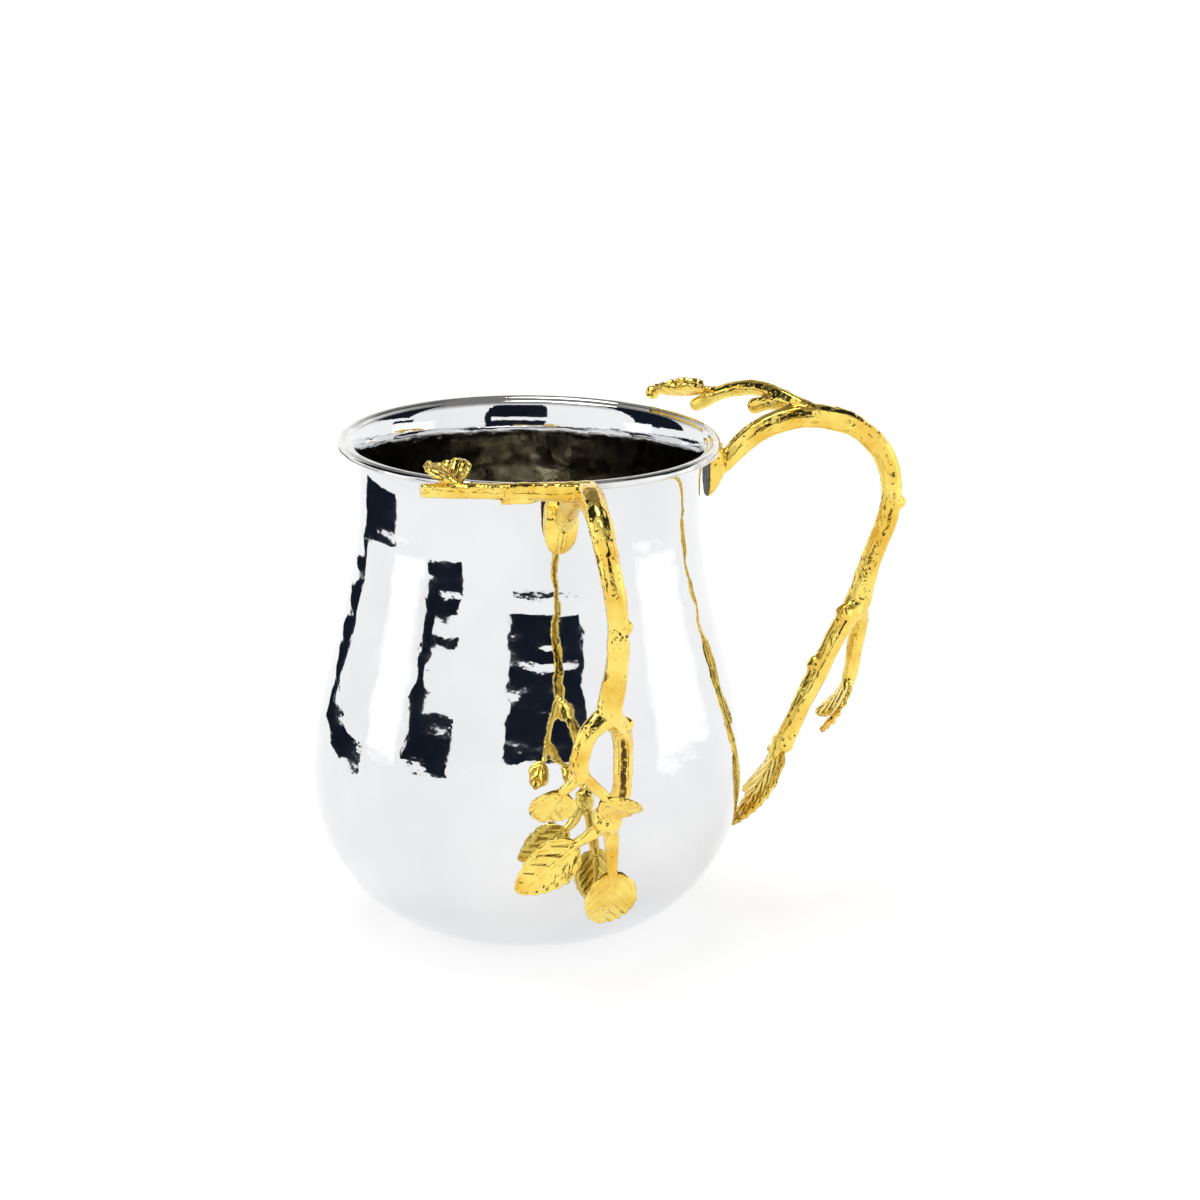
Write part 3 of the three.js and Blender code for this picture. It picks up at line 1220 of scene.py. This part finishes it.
    def keep_in_box(self, piece: bpy.types.Object) -> None:
        """Keeps the handle inside the box of the solid that it replaces.

        Args:
            piece: The handle, pointing along +X.
        """
        turn = Matrix.Rotation(-math.radians(self.side.value), 4, "Z")
        corners = np.array([turn @ Vector(corner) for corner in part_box(self.node)])
        set_vertices(piece, np.clip(vertices_of(piece), corners.min(axis=0), corners.max(axis=0)))

    def mark_painted_shade(self, piece: bpy.types.Object, leaves_from: int) -> None:
        """Stores the painted shade of each vertex: how far it lies in a hollow, on the pad's inner face or in
        the groove, for the finish to darken.

        Args:
            piece: The finished handle.
            leaves_from: The number of the first vertex of the leaves, whose hollows stay brighter.
        """
        mesh = piece.data
        coords = vertices_of(piece) / MM
        normals = normals_of(piece)
        ends = np.empty(len(mesh.edges) * 2, dtype=np.int64)
        mesh.edges.foreach_get("vertices", ends)
        first, second = ends.reshape(-1, 2).T
        count = np.bincount(first, minlength=len(coords)) + np.bincount(second, minlength=len(coords))

        def averaged(values: np.ndarray) -> np.ndarray:
            """The mean over each vertex's neighbours."""
            total = np.zeros_like(values)
            np.add.at(total, first, values[second])
            np.add.at(total, second, values[first])
            return total / count.reshape(-1, *[1] * (values.ndim - 1))

        # Painted shade: how far each vertex sits below its smoothed neighbours.
        wide = coords
        for _ in range(7):
            wide = 0.5 * wide + 0.5 * averaged(wide)
        depth = np.einsum("ij,ij->i", wide - coords, normals)
        for _ in range(2):
            depth = 0.5 * depth + 0.5 * averaged(depth)
        depth[leaves_from:] *= self.leaf_hollow_share
        hollow_shade = np.clip(self.hollow_start + depth * self.hollow_gain, 0, self.hollow_most)
        # Painted shade: the pad's faces towards the cup's neck are painted nearly black.
        radius = np.hypot(coords[:, 0], coords[:, 1])
        towards_cup = -(normals[:, 0] * coords[:, 0] + normals[:, 1] * coords[:, 1]) / radius
        at_neck = np.abs(coords[:, 2] - self.cup.neck_height) < self.pad_reach
        on_pad = (radius < self.cup.rim_radius + 1) & at_neck
        deep_shade = np.clip((towards_cup - 0.3) / 0.4, 0, 1) * on_pad
        hollow_shade = np.maximum(hollow_shade, deep_shade)
        store(piece, self.gold.hollow_attribute, np.maximum(hollow_shade, self.groove_shade(coords)))

    def groove_shade(self, coords: np.ndarray) -> np.ndarray:
        """How far painted shade darkens each place in the open groove.

        Args:
            coords: Places in millimetres, with the handle pointing along +X.

        Returns:
            A number from 0 to 1 for each place.
        """
        dark = np.zeros(len(coords))
        if self.groove is None:
            return dark
        path, radii = self.round_ends(*self.bent_path(self.branches[self.groove[0]]))
        for i, point in enumerate(coords):
            distances = np.linalg.norm(path - point, axis=1)
            row = int(np.argmin(distances))
            if distances[row] < self.groove_reach * radii[row]:
                direction = (point - path[row]) / distances[row]
                depth = self.furrow(self.groove[0], row / (len(path) - 1), direction)
                # Painted shade, broken into patches by a noise.
                patchy = min(1.0, max(0.0, 1.1 + 1.6 * noise.noise(Vector(point) / 1.3)))
                dark[i] = min(self.groove_darkest, self.groove_darkening * depth) * patchy
        return dark

    def build(self) -> bpy.types.Object:
        """Makes the handle and turns it to its side of the cup.

        Returns:
            The finished handle.
        """
        branches = [self.branch(key, forms, 3.7 * i) for i, (key, forms) in enumerate(self.branches.items())]
        buds = [self.bud(i, form) for i, form in enumerate(self.buds)]
        skin = self.grow_together([*branches, *buds, self.pad()])
        self.pit(skin)
        leaves_from = len(skin.data.vertices)
        leaves = [self.leaf(i, form) for i, form in enumerate(self.leaves)]
        handle = join([skin, *leaves])
        handle.name = self.name
        handle.data.name = self.name
        self.keep_off_cup(handle)
        self.keep_in_box(handle)
        shade_smooth(handle)
        self.mark_painted_shade(handle, leaves_from)
        handle.data.transform(Matrix.Rotation(math.radians(self.side.value), 4, "Z"))
        return handle

    def dress(self, handle: bpy.types.Object, finish: bpy.types.Material) -> None:
        """Gives the handle its finish and its place in the frame.

        Args:
            handle: The finished handle.
            finish: The gold casting's material.
        """
        handle.data.materials.clear()
        handle.data.materials.append(finish)
        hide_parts(self.node)
        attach(handle, BODY)


def front_handle(cup: CupBody) -> BranchHandle:
    """The handle towards -Y, as the photograph shows it from its outer side.

    Args:
        cup: The cup that it sits on.

    Returns:
        The handle.
    """
    return BranchHandle(
        name="front_branch_handle",
        node="front_handle",
        side=Side.FRONT,
        cup=cup,
        branches={
            "trunk": [
                (11, -20, -80, 41), (83, -17, -14, 50), (186, -11, 24, 53), (295, -17, 4, 52),
                (369, -10, -73, 47), (389, 3, -176, 44), (347, 13, -298, 46), (318, 5, -397, 53),
            ],
            "twig": [(179, -8, 29, 44), (125, -86, 18, 41), (64, -166, 8, 35), (-27, -302, -7, 32)],
            "twig_spur": [(118, -84, 15, 36), (95, -118, 3, 36), (72, -161, -14, 11)],
            "twig_stalk": [(18, -237, 5, 23), (3, -250, 15, 20)],
            "free_fork": [
                (318, 5, -397, 47), (333, -37, -427, 41), (334, -56, -478, 38), (326, -53, -521, 34),
            ],
            "left_stalk": [(326, -53, -516, 29), (311, -73, -545, 23), (297, -93, -565, 17)],
            "right_stalk": [(326, -53, -516, 29), (313, -29, -542, 24), (290, 11, -585, 20)],
            "strut": [
                (318, 5, -397, 50), (266, 44, -454, 43), (217, 60, -540, 40),
                (179, 66, -611, 40), (140, 52, -678, 46),
            ],
            "low_stalk": [(140, 52, -675, 38), (121, 61, -725, 32), (95, 70, -818, 23)],
            "side_stalk": [(140, 50, -679, 34), (125, 15, -713, 26), (105, -16, -741, 20)],
        },
        buds=[(389, 15, -196, 37), (282, 50, -431, 32), (140, 47, -678, 63), (333, -60, -492, 41)],
        leaves=[
            Leaf(base=(98, 73, -808), tip=(8, 67, -944), face=(1, 0, -0.4), width=107, fold=5, curl=12),
            Leaf(base=(107, -12, -738), tip=(87, -131, -838), face=(1, 0.1, 0.25), width=96, fold=7, curl=8),
            Leaf(
                base=(301, -90, -559), tip=(228, -111, -637), face=(0.7, -0.1, -0.5),
                width=93, fold=5, curl=6,
            ),
            Leaf(base=(292, 5, -583), tip=(247, 87, -624), face=(0.6, 0.1, -0.8), width=80, fold=6, curl=6),
            Leaf(
                base=(8, -247, 12), tip=(-92, -267, 24), face=(0.2, 0, 1),
                width=95, fold=18, curl=5, crumple=9,
            ),
        ],
        pad_aside=-3,
        pad_drop=71,
        groove=("strut", 0.26, 0.88),
    )


def right_handle(cup: CupBody) -> BranchHandle:
    """The handle towards +X, the mirrored partner, as the photograph shows it from its side.

    Args:
        cup: The cup that it sits on.

    Returns:
        The handle.
    """
    return BranchHandle(
        name="right_branch_handle",
        node="right_handle",
        side=Side.RIGHT,
        cup=cup,
        branches={
            "trunk": [
                (11, 15, -87, 41), (83, 15, -21, 49), (188, 11, 18, 52), (295, 11, -2, 51),
                (373, 4, -70, 47), (392, -8, -173, 47), (347, -19, -302, 47), (319, -15, -397, 56),
            ],
            "twig": [
                (217, 8, 24, 40), (185, 31, 40, 38), (121, 145, 53, 36), (65, 206, 31, 33), (21, 252, -5, 31),
            ],
            "twig_spur": [(194, 23, 37, 34), (147, 69, 37, 33), (111, 99, 24, 35)],
            "twig_stalk": [(67, 205, 31, 26), (29, 237, 29, 23)],
            "free_fork": [
                (319, -15, -397, 46), (338, 26, -452, 41), (336, 46, -505, 38), (323, 53, -593, 31),
            ],
            "left_stalk": [(322, 53, -591, 24), (316, 69, -612, 18)],
            "right_stalk": [(323, 52, -588, 26), (313, 27, -611, 20)],
            "strut": [
                (319, -15, -397, 53), (272, -46, -447, 44), (208, -65, -557, 43),
                (171, -70, -630, 40), (144, -61, -693, 43),
            ],
            "low_stalk": [(144, -61, -690, 40), (134, -61, -715, 31)],
            "side_stalk": [(142, -58, -690, 34), (137, -38, -705, 26), (131, -20, -718, 20)],
        },
        buds=[
            (409, -8, -176, 32), (284, -40, -414, 42), (217, -58, -519, 40),
            (144, -61, -692, 49), (-76, 267, 23, 31),
        ],
        leaves=[
            Leaf(base=(140, -61, -702), tip=(32, -50, -872), face=(1, 0, -0.6), width=104, fold=5, curl=8),
            Leaf(
                base=(133, -24, -715), tip=(92, 69, -835), face=(0.84, -0.2, -0.4),
                width=96, fold=7, curl=8,
            ),
            Leaf(
                base=(318, 64, -608), tip=(267, 111, -679), face=(0.7, -0.07, -0.76),
                width=89, fold=5, curl=6,
            ),
            Leaf(
                base=(316, 34, -603), tip=(242, -15, -682), face=(0.76, -0.4, -0.5),
                width=80, fold=6, curl=5,
            ),
            Leaf(
                base=(37, 231, 27), tip=(-78, 267, 23), face=(0.1, 0.1, 1),
                width=92, fold=23, curl=-5, crumple=9,
            ),
        ],
        pad_aside=0,
        pad_drop=63,
        groove=None,
    )


# The studio


@dataclass(frozen=True)
class Panel:
    """A dark panel or a soft box that stands outside the picture and shows only in the polished metal.

    Its edges are given by their turns in degrees about the cup's axis, and by its heights in metres.
    """

    name: str
    first_turn: float
    last_turn: float
    distance: float
    low: float
    high: float


@dataclass(frozen=True)
class DarkStrip:
    """A dark strip that lies on the floor outside the picture, between two distances from the cup."""

    name: str
    first_turn: float
    last_turn: float
    near: float
    far: float


@dataclass
class Studio:
    """The pale floor, the soft light, the dark panels and the camera at the photograph's viewing angle.

    Turns are in degrees about the cup's axis, from the camera's side towards the picture's right.
    """

    camera_place: Place = (0.0, -1.3, 0.45389)
    camera_pitch: float = 15.502
    camera_yaw: float = 0.883
    camera_roll: float = 0.63
    focal_pixels: float = 4813.7
    picture_pixels: float = 1200.0
    sensor_mm: float = 36.0
    part_turn: float = -12.5
    floor_size: float = 8.0
    panel_steps: int = 16
    dark_panels: tuple[Panel, ...] = (
        Panel("panel_behind", first_turn=-150, last_turn=-130, distance=0.58, low=0.0, high=0.1),
        Panel("panel_left_low", first_turn=-67, last_turn=-42, distance=0.58, low=0.035, high=0.14),
        Panel("panel_left_high", first_turn=-67, last_turn=-60, distance=0.58, low=0.14, high=0.2),
        Panel("panel_left_tall", first_turn=-130, last_turn=-80, distance=1.2, low=0.46, high=2.3),
        Panel("panel_right_low", first_turn=90, last_turn=110, distance=1.2, low=0.42, high=0.7),
        Panel("panel_right_tall", first_turn=97, last_turn=145, distance=1.2, low=0.85, high=2.3),
        Panel("panel_front", first_turn=-11, last_turn=32, distance=2.0, low=0.2, high=0.6),
        Panel("panel_front_edge", first_turn=27, last_turn=32, distance=2.0, low=0.6, high=0.85),
        Panel("panel_front_tall", first_turn=-13, last_turn=32, distance=2.0, low=0.85, high=3.4),
    )
    soft_boxes: tuple[Panel, ...] = (
        Panel("soft_box_left", first_turn=-96, last_turn=-70, distance=0.62, low=0.0, high=0.36),
        Panel("soft_box_right", first_turn=70, last_turn=112, distance=0.62, low=0.0, high=0.36),
    )
    strips: tuple[DarkStrip, ...] = (
        DarkStrip("strip_left", first_turn=-137, last_turn=-97, near=0.34, far=0.57),
    )
    sun_turn: float = -115.0
    sun_height: float = 78.0
    sun_spread: float = 36.0
    sun_power: float = 1.1
    world_strength: float = 1.08
    ceiling: Colour = (0.22, 0.215, 0.2)
    ceiling_tilt: float = 0.35
    ceiling_span: Span = (0.62, 0.85)
    floor_colour: Colour = (0.42, 0.42, 0.42)
    floor_glow: float = 0.66
    panel_colour: Colour = (0.007, 0.011, 0.02)
    strip_height: float = 0.001
    cloth_colour: Colour = (0.3, 0.3, 0.3)
    cloth_roughness: float = 0.5
    cloth_glow: float = 1.25
    glow_loss: float = 0.36
    glow_attribute: str = "glow"

    def turned(self) -> Matrix:
        """The turn from the camera's own frame to the frame of the CAD."""
        return Matrix.Rotation(math.radians(self.part_turn), 4, "Z")

    def camera(self) -> bpy.types.Object:
        """Sets up the camera.

        Returns:
            The camera.
        """
        pitch, yaw, roll = (math.radians(a) for a in (self.camera_pitch, self.camera_yaw, self.camera_roll))
        forward = Vector((math.sin(yaw) * math.cos(pitch), math.cos(yaw) * math.cos(pitch), -math.sin(pitch)))
        level = forward.cross(Vector((0, 0, 1))).normalized()
        upright = level.cross(forward)
        right = math.cos(roll) * level + math.sin(roll) * upright
        up = math.cos(roll) * upright - math.sin(roll) * level
        data = bpy.data.cameras.new("camera")
        data.sensor_width = self.sensor_mm
        data.lens = self.focal_pixels / self.picture_pixels * self.sensor_mm
        data.clip_start, data.clip_end = 0.01, 50
        camera = bpy.data.objects.new("camera", data)
        bpy.context.scene.collection.objects.link(camera)
        pose = Matrix((right, up, -forward)).transposed().to_4x4()
        pose.translation = Vector(self.camera_place)
        camera.matrix_world = self.turned() @ pose
        bpy.context.scene.camera = camera
        return camera

    def floor(self) -> bpy.types.Object:
        """The plain pale floor.

        Returns:
            The floor.
        """
        deselect_all()
        bpy.ops.mesh.primitive_plane_add(size=self.floor_size)
        floor = name_piece("floor")
        finish = StudioCloth("pale_floor", self.floor_colour, glow=self.floor_glow)
        floor.data.materials.append(finish.build())
        return floor

    def bent(self, form: Panel | DarkStrip, start: Place, end: Place, finish: bpy.types.Material) -> None:
        """Bends a panel, a soft box or a strip round the cup.

        Args:
            form: The panel or the strip, for its name and turns.
            start: The distance and height of its first edge.
            end: The distance and height of its last edge.
            finish: Its finish.
        """
        deselect_all()
        steps = self.panel_steps
        bpy.ops.mesh.primitive_grid_add(x_subdivisions=steps, y_subdivisions=steps, size=2)
        panel = name_piece(form.name)
        coords = vertices_of(panel)
        across, share = coords[:, 0], (coords[:, 1] + 1) / 2
        turns = np.radians(form.first_turn + (form.last_turn - form.first_turn) * (across + 1) / 2)
        distance = start[0] + (end[0] - start[0]) * share
        height = start[1] + (end[1] - start[1]) * share
        set_vertices(panel, np.stack([np.sin(turns) * distance, -np.cos(turns) * distance, height], axis=1))
        edge = np.maximum(across**2, (2 * share - 1) ** 4)
        store(panel, self.glow_attribute, 1 - self.glow_loss * edge)
        panel.data.transform(self.turned())
        panel.data.materials.append(finish)
        panel.visible_camera = False
        panel.visible_diffuse = False
        panel.visible_shadow = False

    def sun(self) -> bpy.types.Object:
        """The broad, even light from above.

        Returns:
            The light.
        """
        data = bpy.data.lights.new("broad_light", "SUN")
        data.angle = math.radians(self.sun_spread)
        data.energy = self.sun_power
        light = bpy.data.objects.new("broad_light", data)
        bpy.context.scene.collection.objects.link(light)
        turn, height = math.radians(self.sun_turn), math.radians(self.sun_height)
        source = Vector((
            math.sin(turn) * math.cos(height), -math.cos(turn) * math.cos(height), math.sin(height)
        ))
        light.matrix_world = (self.turned() @ source).to_track_quat("Z", "Y").to_matrix().to_4x4()
        return light

    def world(self) -> None:
        """A white surround that turns grey overhead, lower behind the cup than in front of it."""
        world = bpy.data.worlds.new("studio")
        bpy.context.scene.world = world
        world.use_nodes = True
        tree = world.node_tree
        rise = tree.nodes.new("ShaderNodeVectorMath")
        rise.operation = "DOT_PRODUCT"
        rise.inputs[1].default_value = self.turned() @ Vector((0, self.ceiling_tilt, 1))
        ramp = tree.nodes.new("ShaderNodeValToRGB")
        low, high = ramp.color_ramp.elements
        low.position, high.position = self.ceiling_span
        low.color, high.color = (*WHITE, 1), (*self.ceiling, 1)
        coordinates = tree.nodes.new("ShaderNodeTexCoord")
        tree.links.new(coordinates.outputs["Generated"], rise.inputs[0])
        tree.links.new(rise.outputs["Value"], ramp.inputs[0])
        tree.links.new(ramp.outputs[0], tree.nodes["Background"].inputs["Color"])
        tree.nodes["Background"].inputs["Strength"].default_value = self.world_strength

    def build(self) -> None:
        """Sets up the camera, the floor, the panels and the light."""
        self.camera()
        self.floor()
        dark = StudioCloth("dark_panel", self.panel_colour).build()
        cloth = StudioCloth(
            "soft_glow", self.cloth_colour, self.cloth_roughness, self.cloth_glow, self.glow_attribute
        )
        glow = cloth.build()
        for forms, finish in ((self.dark_panels, dark), (self.soft_boxes, glow)):
            for form in forms:
                self.bent(form, (form.distance, form.low), (form.distance, form.high), finish)
        for form in self.strips:
            self.bent(form, (form.near, self.strip_height), (form.far, self.strip_height), dark)
        self.world()
        self.sun()
        bpy.context.scene.view_settings.view_transform = "Standard"


def main() -> None:
    """Builds the studio, the cup and the handles, and dresses them."""
    logging.basicConfig(level=logging.INFO, format="%(name)s: %(message)s")
    Studio().build()
    cup = CupBody()
    body = cup.build()
    cup.dress(body)
    LOG.info("%s has %d faces", body.name, len(body.data.polygons))
    gold = GoldCasting().build()
    for handle in (front_handle(cup), right_handle(cup)):
        piece = handle.build()
        handle.dress(piece, gold)
        LOG.info("%s has %d faces", piece.name, len(piece.data.polygons))


if __name__ == "__main__":
    main()
